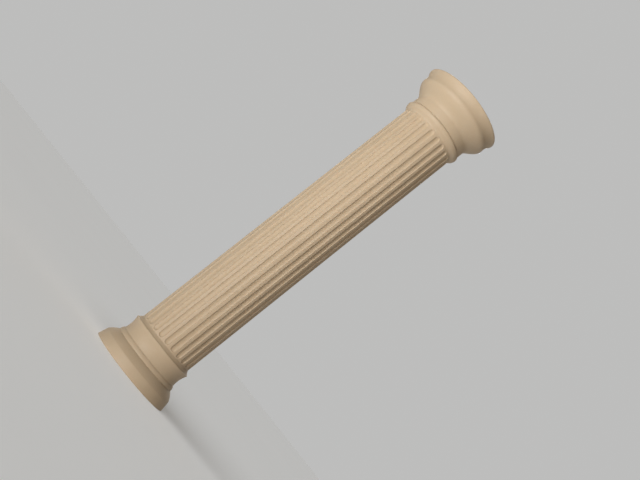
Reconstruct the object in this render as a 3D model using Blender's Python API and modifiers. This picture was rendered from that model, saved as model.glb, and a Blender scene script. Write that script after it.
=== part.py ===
"""Miniature classical column: base, fluted shaft and capital in one solid piece.

Metres, +Z up. The origin is the centre of the underside and the axis runs up +Z.
The mouldings are named from the underside to the top. Each has its own height and radii.
"""

import math

import bpy

MM = 0.001

# Whole column
COLUMN_HEIGHT = 150.0 * MM
SHAFT_RADIUS = 12.05 * MM
EDGE_ROUNDING = 0.2 * MM

# Base, from the underside up
BASE_RADIUS = 17.0 * MM
BASE_BAND_HEIGHT = 3.6 * MM
BASE_BAND_TOP_RADIUS = 16.3 * MM
BASE_OVOLO_HEIGHT = 3.0 * MM
BASE_OVOLO_TOP_RADIUS = 13.5 * MM
BASE_OVOLO_BULGE = 0.22 * MM
BASE_BEAD_HEIGHT = 1.6 * MM
BASE_BEAD_FOOT_RADIUS = 13.7 * MM
BASE_BEAD_TOP_RADIUS = 13.05 * MM
BASE_BEAD_BULGE = 0.15 * MM
BASE_CAVETTO_HEIGHT = 5.5 * MM
BASE_CAVETTO_FOOT_RADIUS = 12.95 * MM
BASE_CAVETTO_DEPTH = 0.38 * MM
BASE_RING_RADIUS = 13.35 * MM
BASE_RING_THICKNESS = 0.3 * MM
BASE_FLARE_RADIUS = 13.2 * MM
BASE_FLARE_HEIGHT = 1.3 * MM
BASE_FLARE_DEPTH = 0.08 * MM

# Flutes of the shaft
FLUTE_COUNT = 24
FLUTE_FILLET_WIDTH = 0.84 * MM
FLUTE_DEPTH = 0.43 * MM
FLUTE_FOOT_GAP = 0.25 * MM
FLUTE_HEAD_GAP = 0.2 * MM

# Capital, from the shaft up
ASTRAGAL_RISE = 2.0 * MM
ASTRAGAL_RADIUS = 13.25 * MM
ASTRAGAL_HEIGHT = 1.05 * MM
ASTRAGAL_BULGE = 0.12 * MM
NECK_GROOVE_HEIGHT = 0.3 * MM
NECK_GROOVE_RADIUS = 12.65 * MM
NECK_RADIUS = 12.85 * MM
NECK_HEIGHT = 3.35 * MM
ECHINUS_HEIGHT = 6.1 * MM
ECHINUS_RADIUS = 16.6 * MM
ECHINUS_LIP = 0.2 * MM
CROWN_HEIGHT = 3.8 * MM
CROWN_DEPTH = 0.38 * MM
ABACUS_HEIGHT = 0.4 * MM
ABACUS_RADIUS = 17.55 * MM

# Facets around the column, along its curves, and of one flute's cutter
STEPS_PER_FLUTE = 3
ARC_STEPS = 4
OGEE_STEPS = 6
CUTTER_STEPS = 12
CUTTER_END_STEPS = 3
MERGE_DISTANCE = 0.01 * MM
SHARP_ANGLE = math.radians(25)

# Beige plastic
PLASTIC_COLOUR = (0.46, 0.355, 0.24, 1.0)
PLASTIC_ROUGHNESS = 0.57


def arc(start, end, bulge):
    """Points of a circular arc between two (radius, height) points, both ends included.

    A positive bulge swells outward from the chord and a negative one hollows it.
    """
    chord_r = end[0] - start[0]
    chord_z = end[1] - start[1]
    chord = math.hypot(chord_r, chord_z)
    arc_radius = (chord * chord / 4 + bulge * bulge) / (2 * abs(bulge))
    half_angle = 2 * math.atan(2 * abs(bulge) / chord)
    out_r, out_z = chord_z / chord, -chord_r / chord
    side = math.copysign(1, bulge)
    points = []
    for step in range(ARC_STEPS + 1):
        angle = -half_angle + 2 * half_angle * step / ARC_STEPS
        along = 0.5 + arc_radius * math.sin(angle) / chord
        out = side * arc_radius * (math.cos(angle) - math.cos(half_angle))
        points.append((start[0] + chord_r * along + out_r * out, start[1] + chord_z * along + out_z * out))
    return points


def ogee(start, end):
    """Points of an S-shaped curve that leaves and meets both (radius, height) ends upright."""
    points = []
    for step in range(OGEE_STEPS + 1):
        share = step / OGEE_STEPS
        swing = (1 - math.cos(math.pi * share)) / 2
        points.append((start[0] + (end[0] - start[0]) * swing, start[1] + (end[1] - start[1]) * share))
    return points


def base_profile():
    """The base from the centre of the underside up to the foot of the shaft."""
    band_top = BASE_BAND_HEIGHT
    ovolo_top = band_top + BASE_OVOLO_HEIGHT
    bead_top = ovolo_top + BASE_BEAD_HEIGHT
    cavetto_top = bead_top + BASE_CAVETTO_HEIGHT
    ring_top = cavetto_top + BASE_RING_THICKNESS
    flare_top = ring_top + BASE_FLARE_HEIGHT
    points = [(0, 0), (BASE_RADIUS - EDGE_ROUNDING, 0), (BASE_RADIUS, EDGE_ROUNDING)]
    points += arc((BASE_BAND_TOP_RADIUS, band_top), (BASE_OVOLO_TOP_RADIUS, ovolo_top), BASE_OVOLO_BULGE)
    points += arc((BASE_BEAD_FOOT_RADIUS, ovolo_top), (BASE_BEAD_TOP_RADIUS, bead_top), BASE_BEAD_BULGE)
    points += arc((BASE_CAVETTO_FOOT_RADIUS, bead_top), (BASE_RING_RADIUS, cavetto_top), -BASE_CAVETTO_DEPTH)
    points += [(BASE_RING_RADIUS, ring_top)]
    points += arc((BASE_FLARE_RADIUS, ring_top), (SHAFT_RADIUS, flare_top), -BASE_FLARE_DEPTH)
    return points


def capital_profile(foot):
    """The capital from the head of the shaft, at height foot, up to the centre of the top."""
    astragal_foot = foot + ASTRAGAL_RISE
    neck_foot = astragal_foot + ASTRAGAL_HEIGHT
    echinus_foot = neck_foot + NECK_HEIGHT
    echinus_top = echinus_foot + ECHINUS_HEIGHT
    crown_foot = echinus_top + ECHINUS_LIP
    abacus_foot = crown_foot + CROWN_HEIGHT
    points = ogee((SHAFT_RADIUS, foot), (ASTRAGAL_RADIUS, astragal_foot))
    points += arc((ASTRAGAL_RADIUS, astragal_foot), (ASTRAGAL_RADIUS, neck_foot), ASTRAGAL_BULGE)[1:]
    points += [(NECK_GROOVE_RADIUS, neck_foot), (NECK_GROOVE_RADIUS, neck_foot + NECK_GROOVE_HEIGHT)]
    points += [(NECK_RADIUS, neck_foot + NECK_GROOVE_HEIGHT)]
    points += ogee((NECK_RADIUS, echinus_foot), (ECHINUS_RADIUS, echinus_top))
    points += arc((ECHINUS_RADIUS, crown_foot), (ABACUS_RADIUS, abacus_foot), -CROWN_DEPTH)
    points += [(ABACUS_RADIUS, COLUMN_HEIGHT - EDGE_ROUNDING)]
    points += [(ABACUS_RADIUS - EDGE_ROUNDING, COLUMN_HEIGHT), (0, COLUMN_HEIGHT)]
    return points


def capital_height():
    """Height of the capital, the sum of its mouldings."""
    lower = ASTRAGAL_RISE + ASTRAGAL_HEIGHT + NECK_HEIGHT
    upper = ECHINUS_HEIGHT + ECHINUS_LIP + CROWN_HEIGHT + ABACUS_HEIGHT
    return lower + upper


def new_collection(name):
    """A collection linked to the scene."""
    collection = bpy.data.collections.new(name)
    bpy.context.scene.collection.children.link(collection)
    return collection


def turned(name, points, steps, collection):
    """An object turned about Z from (radius, height) points that run from the foot to the head."""
    mesh = bpy.data.meshes.new(name)
    outline = [(radius, 0, height) for radius, height in reversed(points)]
    edges = [(index, index + 1) for index in range(len(outline) - 1)]
    mesh.from_pydata(outline, edges, [])
    turned_object = bpy.data.objects.new(name, mesh)
    collection.objects.link(turned_object)
    screw = turned_object.modifiers.new("turn", "SCREW")
    screw.axis = "Z"
    screw.angle = math.tau
    screw.steps = steps
    screw.render_steps = steps
    screw.use_merge_vertices = True
    screw.merge_threshold = MERGE_DISTANCE
    return turned_object


def flute_cutters(foot, head, collection):
    """One round-ended rod for each flute, standing around the shaft between two heights."""
    pitch = math.tau / FLUTE_COUNT
    half_width = SHAFT_RADIUS * math.sin(pitch / 2) - FLUTE_FILLET_WIDTH / 2
    chord_drop = SHAFT_RADIUS - math.sqrt(SHAFT_RADIUS**2 - half_width**2)
    sagitta = FLUTE_DEPTH - chord_drop
    rod_radius = (half_width**2 + sagitta**2) / (2 * sagitta)
    rod_distance = SHAFT_RADIUS - FLUTE_DEPTH + rod_radius
    low = foot + half_width
    high = head - half_width
    quarter = [math.pi / 2 * step / CUTTER_END_STEPS for step in range(CUTTER_END_STEPS + 1)]
    points = [(rod_radius * math.sin(turn), low - rod_radius * math.cos(turn)) for turn in quarter]
    points += [(rod_radius * math.cos(turn), high + rod_radius * math.sin(turn)) for turn in quarter]
    for index in range(FLUTE_COUNT):
        cutter = turned(f"flute_cutter_{index + 1}", points, CUTTER_STEPS, collection)
        cutter.location = (rod_distance * math.cos(pitch * index), rod_distance * math.sin(pitch * index), 0)
        cutter.rotation_euler = (0, 0, pitch * index)
        cutter.hide_render = True
        cutter.display_type = "WIRE"


def beige_plastic():
    """Matte beige plastic."""
    material = bpy.data.materials.new("beige plastic")
    material.use_nodes = True
    shader = material.node_tree.nodes["Principled BSDF"]
    shader.inputs["Base Color"].default_value = PLASTIC_COLOUR
    shader.inputs["Roughness"].default_value = PLASTIC_ROUGHNESS
    shader.inputs["Metallic"].default_value = 0.0
    return material


def keep_evaluated_mesh(target):
    """Replaces an object's profile and modifiers by the solid that they make, shaded smooth."""
    depsgraph = bpy.context.evaluated_depsgraph_get()
    mesh = bpy.data.meshes.new_from_object(target.evaluated_get(depsgraph))
    target.modifiers.clear()
    target.data = mesh
    mesh.shade_smooth()
    mesh.set_sharp_from_angle(angle=SHARP_ANGLE)


def build_column():
    """The whole column: turned profile with the flutes cut into its shaft."""
    pieces = new_collection("classical column")
    cutters = new_collection("flute cutters")
    base = base_profile()
    shaft_head = COLUMN_HEIGHT - capital_height()
    shaft_foot = base[-1][1]
    column = turned("column", base + capital_profile(shaft_head), FLUTE_COUNT * STEPS_PER_FLUTE, pieces)
    flute_cutters(shaft_foot + FLUTE_FOOT_GAP, shaft_head - FLUTE_HEAD_GAP, cutters)
    cut = column.modifiers.new("flutes", "BOOLEAN")
    cut.operation = "DIFFERENCE"
    cut.solver = "EXACT"
    cut.operand_type = "COLLECTION"
    cut.collection = cutters
    keep_evaluated_mesh(column)
    column.data.materials.clear()
    column.data.materials.append(beige_plastic())


for leftover in list(bpy.data.objects):
    bpy.data.objects.remove(leftover)
build_column()
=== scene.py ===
"""Looks of the miniature classical column: its fine surface, its beige plastic and its studio."""

import math

import bmesh
import bpy
from bpy.props import FloatProperty, FloatVectorProperty, IntProperty, PointerProperty
from mathutils import Matrix, Vector


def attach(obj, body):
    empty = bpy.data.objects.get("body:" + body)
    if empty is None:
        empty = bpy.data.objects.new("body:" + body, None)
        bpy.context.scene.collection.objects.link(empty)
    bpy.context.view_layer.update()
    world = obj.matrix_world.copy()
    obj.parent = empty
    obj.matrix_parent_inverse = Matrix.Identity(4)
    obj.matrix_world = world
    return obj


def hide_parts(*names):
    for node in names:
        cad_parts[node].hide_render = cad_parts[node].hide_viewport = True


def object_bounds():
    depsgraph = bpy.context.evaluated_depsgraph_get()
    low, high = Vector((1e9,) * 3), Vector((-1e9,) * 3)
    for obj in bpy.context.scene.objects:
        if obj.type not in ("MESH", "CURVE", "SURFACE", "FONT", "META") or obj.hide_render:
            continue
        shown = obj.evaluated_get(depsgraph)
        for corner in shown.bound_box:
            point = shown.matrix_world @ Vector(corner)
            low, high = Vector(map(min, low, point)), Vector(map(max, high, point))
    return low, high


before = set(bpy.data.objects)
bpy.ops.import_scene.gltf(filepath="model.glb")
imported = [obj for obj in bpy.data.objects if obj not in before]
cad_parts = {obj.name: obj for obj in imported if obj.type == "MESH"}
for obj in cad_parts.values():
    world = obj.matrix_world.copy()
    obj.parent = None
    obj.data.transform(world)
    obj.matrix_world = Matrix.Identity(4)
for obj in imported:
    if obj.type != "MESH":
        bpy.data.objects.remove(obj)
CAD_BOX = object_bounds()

bl_info = {
    "name": "Miniature classical column",
    "version": (1, 0, 0),
    "blender": (4, 5, 0),
    "location": "View3D > Sidebar > Column",
    "description": "Turns, flutes and finishes a one-piece plastic column and lights it",
    "category": "Add Mesh",
}

MM = 0.001
CAD_NODE = "column"
CAD_BODY = "root"
PIECE = "fluted_column"


def length(name, millimetres, description):
    """A size property in metres whose default is written in millimetres."""
    return FloatProperty(
        name=name, description=description, default=millimetres * MM, min=0.0, precision=5, unit="LENGTH"
    )


def colour(name, value, description):
    """A linear colour property."""
    return FloatVectorProperty(
        name=name, description=description, default=value, min=0.0, max=1.0, size=3, subtype="COLOR"
    )


def fraction(name, value, description):
    """A property from 0 to 1."""
    return FloatProperty(
        name=name, description=description, default=value, min=0.0, max=1.0, subtype="FACTOR"
    )


def degrees(name, value, description):
    """An angle property whose default is written in degrees."""
    return FloatProperty(name=name, description=description, default=math.radians(value), subtype="ANGLE")


def watts(name, value, description):
    """A light's power in watts."""
    return FloatProperty(name=name, description=description, default=value, min=0.0, unit="POWER")


class ColumnBaseSizes(bpy.types.PropertyGroup):
    """Mouldings of the base, named from the underside up."""

    radius: length("Rim radius", 17.0, "Radius at the underside")
    band_height: length("Band height", 3.6, "Height of the plain band above the underside")
    band_top_radius: length("Band top radius", 16.3, "Radius at the top of the plain band")
    ovolo_height: length("Ovolo height", 3.0, "Height of the swelling slope above the band")
    ovolo_top_radius: length("Ovolo top radius", 13.5, "Radius at the top of the slope")
    ovolo_bulge: length("Ovolo bulge", 0.22, "How far the slope swells out of its chord")
    bead_height: length("Bead height", 1.6, "Height of the small bead")
    bead_foot_radius: length("Bead foot radius", 13.7, "Radius at the foot of the bead")
    bead_top_radius: length("Bead top radius", 13.05, "Radius at the top of the bead")
    bead_bulge: length("Bead bulge", 0.15, "How far the bead swells out of its chord")
    cavetto_height: length("Cavetto height", 5.5, "Height of the hollow between bead and ring")
    cavetto_foot_radius: length("Cavetto foot radius", 12.95, "Radius at the foot of the hollow")
    cavetto_depth: length("Cavetto depth", 0.38, "How deep the hollow lies behind its chord")
    ring_radius: length("Ring radius", 13.35, "Radius of the thin ring")
    ring_thickness: length("Ring thickness", 0.3, "Thickness of the thin ring")
    flare_radius: length("Flare radius", 13.2, "Radius at the foot of the flare under the shaft")
    flare_height: length("Flare height", 1.3, "Height of the flare under the shaft")
    flare_depth: length("Flare depth", 0.08, "How deep the flare lies behind its chord")


class ColumnShaftSizes(bpy.types.PropertyGroup):
    """The shaft and its flutes."""

    radius: length("Shaft radius", 12.05, "Radius over the fillets between the flutes")
    flute_count: IntProperty(name="Flutes", description="Flutes around the shaft", default=24, min=3)
    fillet_width: length("Fillet width", 0.84, "Width of the plain strip between two flutes")
    flute_depth: length("Flute depth", 0.43, "Depth of a flute below the fillets")
    foot_gap: length("Foot gap", 0.25, "Plain shaft below the flutes")
    head_gap: length("Head gap", 0.2, "Plain shaft above the flutes")


class ColumnCapitalSizes(bpy.types.PropertyGroup):
    """Mouldings of the capital, named from the shaft up."""

    astragal_rise: length("Astragal rise", 2.0, "Height from the shaft's head to the astragal")
    astragal_radius: length("Astragal radius", 13.25, "Radius at the astragal's two edges")
    astragal_height: length("Astragal height", 1.05, "Height of the rounded astragal")
    astragal_bulge: length("Astragal bulge", 0.12, "How far the astragal swells out between its edges")
    neck_groove_height: length("Neck groove height", 0.3, "Height of the fine groove behind the astragal")
    neck_groove_radius: length("Neck groove radius", 12.65, "Radius at the bottom of the fine groove")
    neck_radius: length("Neck radius", 12.85, "Radius of the neck")
    neck_height: length("Neck height", 3.35, "Height of the neck")
    echinus_height: length("Echinus height", 6.1, "Height of the flaring curve")
    echinus_radius: length("Echinus radius", 16.6, "Radius at the top of the flaring curve")
    echinus_lip: length("Echinus lip", 0.2, "Height of the lip that ends the curve")
    crown_height: length("Crown height", 3.8, "Height of the hollow flare above the lip")
    crown_depth: length("Crown depth", 0.38, "How deep the hollow flare lies behind its chord")
    abacus_height: length("Abacus height", 0.4, "Height of the plain rim at the top")
    abacus_radius: length("Abacus radius", 17.55, "Radius of the plain rim")


class ColumnFinish(bpy.types.PropertyGroup):
    """Fineness of the surface, the colours of the plastic and the shade painted deep in the flutes."""

    curve_spacing: length("Curve spacing", 0.3, "Distance between points along a moulding's curve")
    edge_rounding: length("Edge rounding", 0.15, "Width of the rounding on the mouldings' edges")
    arris_rounding: length("Arris rounding", 0.11, "Width of the rounding on the flutes' edges")
    plastic: colour("Plastic", (0.46, 0.355, 0.24), "Colour of the plastic")
    pale_plastic: colour("Pale plastic", (0.485, 0.378, 0.26), "Colour where the plastic is paler")
    # Painted shade: a darker, warmer colour mixed in deep inside the flutes, where shade falls
    painted_flute_shade: colour("Hollow plastic", (0.455, 0.325, 0.185), "Colour deep inside the flutes")
    roughness: fraction("Roughness", 0.57, "Mean roughness of the plastic")
    translucency: fraction("Translucency", 0.15, "Share of the light that travels under the surface")
    light_depth: length("Light depth", 0.4, "How far red light travels under the surface")


class ColumnStudio(bpy.types.PropertyGroup):
    """Floor, camera and lights."""

    floor_colour: colour("Floor", (0.90, 0.90, 0.89), "Colour of the floor")
    backdrop_colour: colour("Backdrop", (0.51, 0.51, 0.505), "The surroundings as the camera sees them")
    wall_colour: colour("Wall", (0.28, 0.28, 0.275), "Light that the wall behind the column gives")
    room_colour: colour("Room", (0.055, 0.05, 0.042), "Light that the room on the camera's side gives")
    key_power: watts("Key power", 0.92, "Power of the main light")
    key_colour: colour("Key colour", (1.0, 0.99, 0.97), "Colour of the main light")
    low_power: watts("Low power", 0.238, "Power of the low light")
    fill_power: watts("Fill power", 0.43, "Power of the side light")
    fill_colour: colour("Fill colour", (1.0, 0.8, 0.6), "Colour of the side light")
    back_power: watts("Back power", 3.2, "Power of the light behind")
    floor_sun: FloatProperty(
        name="Floor sun", description="Strength of the floor's own soft light", default=1.6, min=0.0
    )
    camera_distance: length("Camera distance", 326.1, "Level distance from the column's axis")
    camera_height: length("Camera height", 30.2, "Height of the camera above the floor")
    camera_yaw: degrees("Camera yaw", 0.92, "Turn of the camera to the right")
    camera_pitch: degrees("Camera pitch", 8.56, "Tilt of the camera upward")
    camera_roll: degrees("Camera roll", 51.47, "Turn of the camera about its own line of sight")
    camera_lens: FloatProperty(
        name="Camera lens", description="Focal length in millimetres", default=52.64, min=1.0, unit="CAMERA"
    )


LEAST_CURVE_STEPS = 4


def arc(start, end, bulge, spacing):
    """Points of a circular arc between two (radius, height) points, both ends included.

    A positive bulge swells outward from the chord and a negative one hollows it.
    """
    chord_r = end[0] - start[0]
    chord_z = end[1] - start[1]
    chord = math.hypot(chord_r, chord_z)
    arc_radius = (chord * chord / 4 + bulge * bulge) / (2 * abs(bulge))
    half_angle = 2 * math.atan(2 * abs(bulge) / chord)
    out_r, out_z = chord_z / chord, -chord_r / chord
    side = math.copysign(1, bulge)
    steps = max(LEAST_CURVE_STEPS, round(2 * half_angle * arc_radius / spacing))
    points = []
    for step in range(steps + 1):
        angle = -half_angle + 2 * half_angle * step / steps
        along = 0.5 + arc_radius * math.sin(angle) / chord
        out = side * arc_radius * (math.cos(angle) - math.cos(half_angle))
        points.append((start[0] + chord_r * along + out_r * out, start[1] + chord_z * along + out_z * out))
    return points


def ogee(start, end, spacing):
    """Points of an S-shaped curve that leaves and meets both (radius, height) ends upright."""
    steps = max(LEAST_CURVE_STEPS, round(math.dist(start, end) / spacing))
    points = []
    for step in range(steps + 1):
        share = step / steps
        swing = (1 - math.cos(math.pi * share)) / 2
        points.append((start[0] + (end[0] - start[0]) * swing, start[1] + (end[1] - start[1]) * share))
    return points


def base_profile(base, shaft, finish):
    """The base from the centre of the underside to the foot of the shaft, and the foot's height."""
    spacing = finish.curve_spacing
    band_top = base.band_height
    ovolo_top = band_top + base.ovolo_height
    bead_top = ovolo_top + base.bead_height
    cavetto_top = bead_top + base.cavetto_height
    ring_top = cavetto_top + base.ring_thickness
    flare_top = ring_top + base.flare_height
    points = [(0, 0), (base.radius, 0)]
    slope_head = (base.ovolo_top_radius, ovolo_top)
    points += arc((base.band_top_radius, band_top), slope_head, base.ovolo_bulge, spacing)
    bead_foot = (base.bead_foot_radius, ovolo_top)
    points += arc(bead_foot, (base.bead_top_radius, bead_top), base.bead_bulge, spacing)
    hollow_foot = (base.cavetto_foot_radius, bead_top)
    points += arc(hollow_foot, (base.ring_radius, cavetto_top), -base.cavetto_depth, spacing)
    points += [(base.ring_radius, ring_top)]
    points += arc((base.flare_radius, ring_top), (shaft.radius, flare_top), -base.flare_depth, spacing)
    return points, flare_top


def capital_profile(capital, shaft, finish, column_height):
    """The capital from the head of the shaft to the centre of the top, and the head's height."""
    spacing = finish.curve_spacing
    abacus_foot = column_height - capital.abacus_height
    crown_foot = abacus_foot - capital.crown_height
    echinus_top = crown_foot - capital.echinus_lip
    echinus_foot = echinus_top - capital.echinus_height
    neck_foot = echinus_foot - capital.neck_height
    astragal_foot = neck_foot - capital.astragal_height
    shaft_head = astragal_foot - capital.astragal_rise
    astragal = (capital.astragal_radius, astragal_foot), (capital.astragal_radius, neck_foot)
    points = ogee((shaft.radius, shaft_head), astragal[0], spacing)
    points += arc(*astragal, capital.astragal_bulge, spacing)[1:]
    groove_head = neck_foot + capital.neck_groove_height
    points += [(capital.neck_groove_radius, neck_foot), (capital.neck_groove_radius, groove_head)]
    points += [(capital.neck_radius, groove_head)]
    lip_foot = (capital.echinus_radius, echinus_top)
    points += ogee((capital.neck_radius, echinus_foot), lip_foot, spacing)
    crown_foot_point = (capital.echinus_radius, crown_foot)
    points += arc(crown_foot_point, (capital.abacus_radius, abacus_foot), -capital.crown_depth, spacing)
    points += [(capital.abacus_radius, column_height), (0, column_height)]
    return points, shaft_head


class FluteGrid:
    """Where the flutes lie on the shaft, and how many steps of the turn each takes.

    Across a flute, 1 is its edge and widest is the middle of the fillet beside it.
    Along it, 0 is the start of its round end and 1 is the end's tip.
    """

    FLUTE_STEPS = 6
    FILLET_STEPS = 2
    END_ROWS = 6
    LONG_ROWS = 16
    EDGE_TOLERANCE = 1e-4

    def __init__(self, shaft, foot, head):
        self.radius = shaft.radius
        self.count = shaft.flute_count
        self.pitch = math.tau / shaft.flute_count
        self.half_width = shaft.radius * math.sin(self.pitch / 2) - shaft.fillet_width / 2
        self.half_angle = math.asin(self.half_width / shaft.radius)
        self.widest = self.pitch / 2 / self.half_angle
        self.foot = foot
        self.head = head
        self.foot_gap = shaft.foot_gap
        self.head_gap = shaft.head_gap
        self.low = foot + shaft.foot_gap + self.half_width
        self.high = head - shaft.head_gap - self.half_width
        sagitta = shaft.flute_depth - shaft.radius * (1 - math.cos(self.half_angle))
        self.rod_radius = (self.half_width**2 + sagitta**2) / (2 * sagitta)
        self.rod_distance = shaft.radius - shaft.flute_depth + self.rod_radius

    @property
    def turn_steps(self):
        """Steps of the full turn, so that each flute and fillet has its own."""
        return self.count * 2 * (self.FLUTE_STEPS + self.FILLET_STEPS)

    def heights(self):
        """Heights of the shaft's rows between its foot and its head."""
        rows = [self.low - self.half_width * (1 - row / self.END_ROWS) for row in range(self.END_ROWS)]
        rows += [self.low + (self.high - self.low) * row / self.LONG_ROWS for row in range(self.LONG_ROWS)]
        rows += [self.high + self.half_width * row / self.END_ROWS for row in range(self.END_ROWS + 1)]
        return rows

    def slid(self, across, along, gap):
        """A grid place slid so that the square end of the grid becomes the flute's round end."""
        edge_x = max(-1.0, min(1.0, across))
        edge_y = max(0.0, min(1.0, along))
        past = max(0.0, (abs(across) - 1) / (self.widest - 1), (along - 1) * self.half_width / gap)
        draw = max(abs(edge_x), edge_y) / math.hypot(edge_x, edge_y) - 1
        keep = max(0.0, 1 - past)
        return across + edge_x * draw * keep, along + edge_y * draw * keep

    def depth(self, share):
        """Depth of the flute at a share of its half width."""
        angle = share * self.half_angle
        inner = self.rod_radius**2 - (self.rod_distance * math.sin(angle)) ** 2
        return self.radius - (self.rod_distance * math.cos(angle) - math.sqrt(inner))

    def place(self, point):
        """New place of a point of the plain shaft, and whether it lies on a flute's edge."""
        angle = math.atan2(point.y, point.x)
        middle = round(angle / self.pitch) * self.pitch
        step = round((angle - middle) * self.turn_steps / math.tau)
        across = step / self.FLUTE_STEPS
        if abs(step) > self.FLUTE_STEPS:
            beyond = (abs(step) - self.FLUTE_STEPS) / self.FILLET_STEPS
            across = math.copysign(1 + beyond * (self.widest - 1), step)
        below_middle = point.z < (self.low + self.high) / 2
        if below_middle:
            start, side, gap = self.low, -1, self.foot_gap
        else:
            start, side, gap = self.high, 1, self.head_gap
        along = side * (point.z - start) / self.half_width
        new_across, new_along = across, along
        if along > 0:
            new_across, new_along = self.slid(across, along, gap)
        reach = math.hypot(new_across, max(0.0, new_along))
        on_edge = abs(reach - 1) < self.EDGE_TOLERANCE
        radius = self.radius if reach > 1 or on_edge else self.radius - self.depth(reach)
        turned = middle + new_across * self.half_angle
        height = start + side * new_along * self.half_width
        return Vector((radius * math.cos(turned), radius * math.sin(turned), height)), on_edge


def wire(bm, points):
    """A chain of edges through (radius, height) points, standing over +X."""
    verts = [bm.verts.new((radius, 0, height)) for radius, height in points]
    for first, second in zip(verts, verts[1:]):
        bm.edges.new((first, second))
    return verts


def corners(verts, least_turn):
    """The chain's inner points where it turns by more than least_turn."""
    found = []
    for before, here, after in zip(verts, verts[1:], verts[2:]):
        if (here.co - before.co).angle(after.co - here.co) > least_turn:
            found.append(here)
    return found


CORNER_TURN = math.radians(20)
CORNER_SHARE = 0.45
ROUNDING_SEGMENTS = 3
ARRIS_SEGMENTS = 3
TINY = 0.001 * MM


def round_corners(bm, verts, width):
    """Rounds each corner of the chain by a width, or by what its shorter edge has room for."""
    for corner in corners(verts, CORNER_TURN):
        room = CORNER_SHARE * min(edge.calc_length() for edge in corner.link_edges)
        bmesh.ops.bevel(
            bm, geom=[corner], offset=min(width, room), offset_type="OFFSET", affect="VERTICES",
            segments=ROUNDING_SEGMENTS, profile=0.5, material=-1
        )


def turn_column(sizes, column_height):
    """The column as one closed mesh with its flutes and rounded edges."""
    bm = bmesh.new()
    lower, shaft_foot = base_profile(sizes.base, sizes.shaft, sizes.finish)
    upper, shaft_head = capital_profile(sizes.capital, sizes.shaft, sizes.finish, column_height)
    grid = FluteGrid(sizes.shaft, shaft_foot, shaft_head)
    middle = [(sizes.shaft.radius, height) for height in grid.heights()]
    verts = wire(bm, lower + middle + upper)
    round_corners(bm, verts, sizes.finish.edge_rounding)
    bmesh.ops.spin(
        bm, geom=bm.verts[:] + bm.edges[:], cent=(0, 0, 0), axis=(0, 0, 1), dvec=(0, 0, 0), angle=math.tau,
        steps=grid.turn_steps, use_merge=True, use_normal_flip=False, use_duplicate=False
    )
    bmesh.ops.remove_doubles(bm, verts=bm.verts[:], dist=TINY)
    edge_verts = set()
    for vert in bm.verts:
        if shaft_foot + TINY < vert.co.z < shaft_head - TINY:
            vert.co, on_edge = grid.place(vert.co)
            if on_edge:
                edge_verts.add(vert)
    arrises = [edge for edge in bm.edges if edge.verts[0] in edge_verts and edge.verts[1] in edge_verts]
    bmesh.ops.bevel(
        bm, geom=arrises, offset=sizes.finish.arris_rounding, offset_type="OFFSET", affect="EDGES",
        segments=ARRIS_SEGMENTS, profile=0.5, material=-1
    )
    bmesh.ops.recalc_face_normals(bm, faces=bm.faces[:])
    return bm, grid


# How deep a point lies in a flute; the plastic's painted shade follows this depth
HOLLOW_LAYER = "hollow"


def mark_hollows(bm, grid):
    """Writes how deep each point lies in a flute, from 0 on the fillets to 1 at the bottom."""
    hollow = bm.verts.layers.float.new(HOLLOW_LAYER)
    deepest = grid.depth(0.0)
    for vert in bm.verts:
        inside = grid.foot < vert.co.z < grid.head
        sunk = (grid.radius - math.hypot(vert.co.x, vert.co.y)) / deepest
        vert[hollow] = max(0.0, min(1.0, sunk)) if inside else 0.0


class Value:
    """A socket that can stand in a plain expression: + and * add the Math nodes."""

    def __init__(self, nodes, socket):
        self.nodes = nodes
        self.socket = socket

    def math(self, operation, first, second):
        return self.nodes.add("ShaderNodeMath", {"operation": operation}, {0: first, 1: second})

    def __add__(self, other):
        return self.math("ADD", self, other)

    def __radd__(self, other):
        return self.math("ADD", other, self)

    def __mul__(self, other):
        return self.math("MULTIPLY", self, other)

    def __rmul__(self, other):
        return self.math("MULTIPLY", other, self)


class Nodes:
    """The nodes of one material or of the surroundings."""

    def __init__(self, holder, shader_name="Principled BSDF"):
        holder.use_nodes = True
        self.tree = holder.node_tree
        self.shader = self.tree.nodes[shader_name]

    def feed(self, socket, value):
        """Links a Value to a socket, or sets the socket to a number or colour."""
        if isinstance(value, Value):
            self.tree.links.new(value.socket, socket)
        else:
            socket.default_value = value

    def add(self, node_type, settings=None, inputs=None, output=0):
        """Any node: its settings first, then the values or links of its sockets."""
        node = self.tree.nodes.new(node_type)
        for name, setting in (settings or {}).items():
            setattr(node, name, setting)
        for key, value in (inputs or {}).items():
            self.feed(node.inputs[key], value)
        return Value(self, node.outputs[output])

    def blend(self, first, second, share):
        """Two colours mixed by a share from 0 to 1."""
        settings = {"data_type": "RGBA", "blend_type": "MIX"}
        return self.add("ShaderNodeMix", settings, {0: share, 6: first, 7: second}, output=2)

    def noise(self, place, scale, detail):
        """Fractal noise from 0 to 1."""
        inputs = {"Vector": place, "Scale": scale, "Detail": detail}
        return self.add("ShaderNodeTexNoise", {}, inputs)

    def spread(self, value, low, high):
        """A value from low to high spread over 0 to 1, smooth at both ends."""
        settings = {"interpolation_type": "SMOOTHSTEP"}
        return self.add("ShaderNodeMapRange", settings, {"Value": value, "From Min": low, "From Max": high})

    def set(self, socket_name, value):
        """Feeds one socket of the shader."""
        self.feed(self.shader.inputs[socket_name], value)


def opaque(linear_colour):
    """A colour property with full alpha."""
    return (*linear_colour, 1.0)


# Scales of the patterns per metre, and the range of noise that each spreads over its colours
CLOUD_SCALE = 60.0
CLOUD_RANGE = (0.35, 0.65)
SPECK_SCALE = 1300.0
SPECK_RANGE = (0.45, 0.75)
GRAIN_SCALE = 2600.0
WAVE_SCALE = 140.0
CLOUD_DETAIL = 3.0
FINE_DETAIL = 2.0

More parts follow.
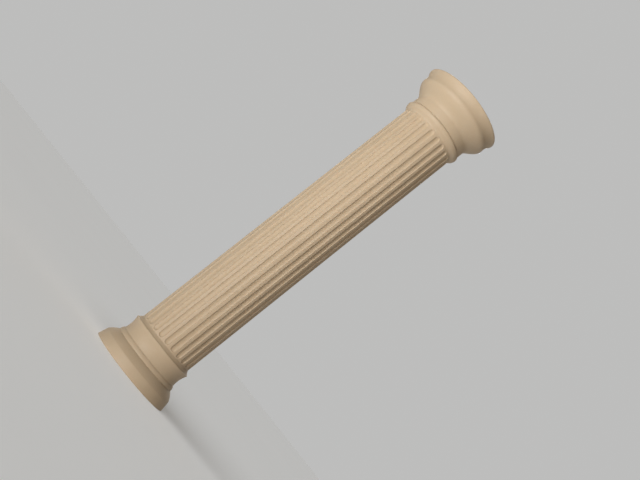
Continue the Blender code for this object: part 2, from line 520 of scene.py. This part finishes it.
# How much each pattern changes the colour, the roughness and the surface
CLOUD_SHARE = 0.6
SPECK_SHARE = 0.4
# Share of the painted shade, darker and warmer, at the bottom of the flutes
PAINTED_SHADE_SHARE = 0.2
ROUGHER_BY_CLOUD = 0.06
ROUGHER_BY_GRAIN = 0.08
GRAIN_HEIGHT = 0.006 * MM
WAVE_HEIGHT = 0.03 * MM

PLASTIC_GLOSS = 0.35
LIGHT_DEPTH_BY_COLOUR = (1.0, 0.7, 0.5)


def beige_plastic(finish):
    """Matte beige plastic: cloudy colour, fine specks and grain, with painted shade, darker and warmer,
    deep inside the flutes.
    """
    material = bpy.data.materials.new("beige plastic")
    nodes = Nodes(material)
    place = nodes.add("ShaderNodeTexCoord", output="Object")
    cloud = nodes.spread(nodes.noise(place, CLOUD_SCALE, CLOUD_DETAIL), *CLOUD_RANGE)
    speck = nodes.spread(nodes.noise(place, SPECK_SCALE, FINE_DETAIL), *SPECK_RANGE)
    hollow = nodes.add("ShaderNodeAttribute", {"attribute_name": HOLLOW_LAYER}, output="Fac")
    paler = cloud * CLOUD_SHARE + speck * SPECK_SHARE
    body = nodes.blend(opaque(finish.plastic), opaque(finish.pale_plastic), paler)
    # Painted shade: a darker, warmer colour mixed in by how deep the point lies in a flute
    body = nodes.blend(body, opaque(finish.painted_flute_shade), hollow * PAINTED_SHADE_SHARE)
    grain = nodes.noise(place, GRAIN_SCALE, FINE_DETAIL)
    wave = nodes.noise(place, WAVE_SCALE, FINE_DETAIL)
    relief = grain * GRAIN_HEIGHT + wave * WAVE_HEIGHT
    bump = nodes.add("ShaderNodeBump", {}, {"Strength": 1.0, "Distance": 1.0, "Height": relief})
    nodes.set("Base Color", body)
    least_rough = finish.roughness - (ROUGHER_BY_CLOUD + ROUGHER_BY_GRAIN) / 2
    nodes.set("Roughness", cloud * ROUGHER_BY_CLOUD + grain * ROUGHER_BY_GRAIN + least_rough)
    nodes.set("Normal", bump)
    nodes.set("Specular IOR Level", PLASTIC_GLOSS)
    nodes.set("Subsurface Weight", finish.translucency)
    nodes.set("Subsurface Radius", LIGHT_DEPTH_BY_COLOUR)
    nodes.set("Subsurface Scale", finish.light_depth)
    return material


FLOOR_CLOUD_SCALE = 9.0
FLOOR_SHADE = 0.97
FLOOR_ROUGHNESS = 0.9
FLOOR_GLOSS = 0.1


def pale_floor(colour_value):
    """Matte pale paper-like floor, very faintly cloudy."""
    material = bpy.data.materials.new("pale floor")
    nodes = Nodes(material)
    place = nodes.add("ShaderNodeTexCoord", output="Object")
    cloud = nodes.noise(place, FLOOR_CLOUD_SCALE, CLOUD_DETAIL)
    shade = opaque([part * FLOOR_SHADE for part in colour_value])
    nodes.set("Base Color", nodes.blend(opaque(colour_value), shade, cloud))
    nodes.set("Roughness", FLOOR_ROUGHNESS)
    nodes.set("Specular IOR Level", FLOOR_GLOSS)
    return material


def finished_object(name, bm, material):
    """A mesh object at the origin that takes over a bmesh and wears one material."""
    mesh = bpy.data.meshes.new(name)
    bm.to_mesh(mesh)
    bm.free()
    mesh.materials.append(material)
    made = bpy.data.objects.new(name, mesh)
    bpy.context.scene.collection.objects.link(made)
    return made


SMOOTH_TURN = math.radians(50)


class COLUMN_OT_turn(bpy.types.Operator):
    """Turn the column's mouldings, press in its flutes and give it its plastic"""

    bl_idname = "column.turn"
    bl_label = "Column"
    bl_options = {"REGISTER", "UNDO"}

    def execute(self, context):
        sizes = context.scene.column_sizes
        column_height = CAD_BOX[1].z - CAD_BOX[0].z
        bm, grid = turn_column(sizes, column_height)
        mark_hollows(bm, grid)
        column = finished_object(PIECE, bm, beige_plastic(sizes.finish))
        column.data.shade_smooth()
        column.data.set_sharp_from_angle(angle=SMOOTH_TURN)
        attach(column, CAD_BODY)
        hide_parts(CAD_NODE)
        return {"FINISHED"}


FLOOR_RADIUS = 3.0
FLOOR_SEGMENTS = 96
SENSOR_WIDTH = 36.0
NEAREST_SEEN = 0.01

# Where each light stands: degrees around the column from the camera toward -X, then its distance
# and its height in metres
KEY_STAND = (30, 0.6, 0.09)
LOW_STAND = (30, 0.35, 0.04)
FILL_STAND = (-25, 0.6, 0.09)
BACK_STAND = (180, 0.55, 0.45)
SUN_STAND = (30, 0.5, 1.0)

# Heights on the column's axis that the lights face, in metres
MIDDLE_HEIGHT = 0.07
CAPITAL_HEIGHT = 0.14

# Widths and heights of the panels in metres, and the angles that light fans out by
PANEL_SIZE = (0.22, 0.22)
LOW_PANEL_SIZE = (0.15, 0.075)
BACK_PANEL_SIZE = (0.3, 0.3)
LOW_SPREAD = math.radians(90)
SUN_ANGLE = math.radians(50)

# How far a direction points away from the camera where the wall begins and where it is full
WALL_EDGE = (0.1, 0.6)


def around(side, distance, height):
    """A place around the column, turned by side degrees from the camera toward -X."""
    angle = math.radians(side)
    return Vector((-distance * math.sin(angle), -distance * math.cos(angle), height))


def placed_light(data, stand, aim_height, piece):
    """A light on its stand, facing a height on the column's axis, that shines on one piece alone."""
    light = bpy.data.objects.new(data.name, data)
    light.location = around(*stand)
    light.rotation_mode = "QUATERNION"
    aim = Vector((0, 0, aim_height))
    light.rotation_quaternion = (aim - light.location).to_track_quat("-Z", "Y")
    light.visible_camera = False
    lit = bpy.data.collections.new(f"lit by {data.name}")
    lit.objects.link(piece)
    light.light_linking.receiver_collection = lit
    bpy.context.scene.collection.objects.link(light)


def soft_panel(name, size, power, tint=(1.0, 1.0, 1.0), spread=math.pi):
    """A flat glowing panel of a width and height, whose light fans out by an angle."""
    data = bpy.data.lights.new(name, "AREA")
    data.shape = "RECTANGLE"
    data.size, data.size_y = size
    data.energy = power
    data.color = tint
    data.spread = spread
    return data


def soft_sun(name, strength):
    """A very soft light from far away, the same all over the floor."""
    data = bpy.data.lights.new(name, "SUN")
    data.angle = SUN_ANGLE
    data.energy = strength
    return data


def set_surroundings(studio):
    """Light from a wall behind the column and a dim room in front, seen as one pale backdrop."""
    world = bpy.data.worlds.new("pale surroundings")
    nodes = Nodes(world, "Background")
    direction = nodes.add("ShaderNodeTexCoord", output="Object")
    away = nodes.add("ShaderNodeSeparateXYZ", {}, {"Vector": direction}, output="Y")
    wall_share = nodes.spread(away, *WALL_EDGE)
    lit = nodes.blend(opaque(studio.room_colour), opaque(studio.wall_colour), wall_share)
    seen = nodes.add("ShaderNodeLightPath", output="Is Camera Ray")
    nodes.set("Color", nodes.blend(lit, opaque(studio.backdrop_colour), seen))
    nodes.set("Strength", 1.0)
    bpy.context.scene.world = world


def set_camera(studio):
    """The camera, low beside the column, tilted up and turned about its own line of sight."""
    data = bpy.data.cameras.new("camera")
    data.sensor_width = SENSOR_WIDTH
    data.lens = studio.camera_lens
    data.clip_start = NEAREST_SEEN
    camera = bpy.data.objects.new("camera", data)
    heading = Matrix.Rotation(-studio.camera_yaw, 4, "Z")
    tilt = Matrix.Rotation(math.pi / 2 + studio.camera_pitch, 4, "X")
    roll = Matrix.Rotation(studio.camera_roll, 4, "Z")
    place = Matrix.Translation((0, -studio.camera_distance, studio.camera_height))
    camera.matrix_world = place @ heading @ tilt @ roll
    bpy.context.scene.collection.objects.link(camera)
    bpy.context.scene.camera = camera


class COLUMN_OT_studio(bpy.types.Operator):
    """Set up the pale floor, the soft lights and the camera"""

    bl_idname = "column.studio"
    bl_label = "Studio"
    bl_options = {"REGISTER", "UNDO"}

    def execute(self, context):
        studio = context.scene.column_sizes.studio
        bm = bmesh.new()
        bmesh.ops.create_circle(bm, cap_ends=True, segments=FLOOR_SEGMENTS, radius=FLOOR_RADIUS)
        floor = finished_object("floor", bm, pale_floor(studio.floor_colour))
        set_surroundings(studio)
        column = bpy.data.objects[PIECE]
        key = soft_panel("key", PANEL_SIZE, studio.key_power, studio.key_colour)
        placed_light(key, KEY_STAND, MIDDLE_HEIGHT, column)
        low_light = soft_panel("low light", LOW_PANEL_SIZE, studio.low_power, spread=LOW_SPREAD)
        placed_light(low_light, LOW_STAND, CAPITAL_HEIGHT, column)
        fill = soft_panel("fill", PANEL_SIZE, studio.fill_power, studio.fill_colour)
        placed_light(fill, FILL_STAND, MIDDLE_HEIGHT, column)
        back_light = soft_panel("back light", BACK_PANEL_SIZE, studio.back_power)
        placed_light(back_light, BACK_STAND, MIDDLE_HEIGHT, column)
        floor_sun = soft_sun("floor sun", studio.floor_sun)
        placed_light(floor_sun, SUN_STAND, MIDDLE_HEIGHT, floor)
        set_camera(studio)
        context.scene.view_settings.view_transform = "Standard"
        return {"FINISHED"}


class ColumnSizes(bpy.types.PropertyGroup):
    """All sizes, colours and studio settings."""

    base: PointerProperty(type=ColumnBaseSizes)
    shaft: PointerProperty(type=ColumnShaftSizes)
    capital: PointerProperty(type=ColumnCapitalSizes)
    finish: PointerProperty(type=ColumnFinish)
    studio: PointerProperty(type=ColumnStudio)


class COLUMN_PT_sidebar(bpy.types.Panel):
    """Lists the column's steps"""

    bl_idname = "COLUMN_PT_sidebar"
    bl_label = "Classical column"
    bl_space_type = "VIEW_3D"
    bl_region_type = "UI"
    bl_category = "Column"

    def draw(self, context):
        for operator in OPERATORS:
            self.layout.operator(operator.bl_idname)


OPERATORS = (COLUMN_OT_turn, COLUMN_OT_studio)
GROUPS = (ColumnBaseSizes, ColumnShaftSizes, ColumnCapitalSizes, ColumnFinish, ColumnStudio, ColumnSizes)
CLASSES = GROUPS + OPERATORS + (COLUMN_PT_sidebar,)


def register():
    for registered in CLASSES:
        bpy.utils.register_class(registered)
    bpy.types.Scene.column_sizes = PointerProperty(type=ColumnSizes)


def unregister():
    del bpy.types.Scene.column_sizes
    for registered in reversed(CLASSES):
        bpy.utils.unregister_class(registered)


def main():
    """Makes the column and its studio."""
    register()
    bpy.ops.column.turn()
    bpy.ops.column.studio()


if __name__ == "__main__":
    main()
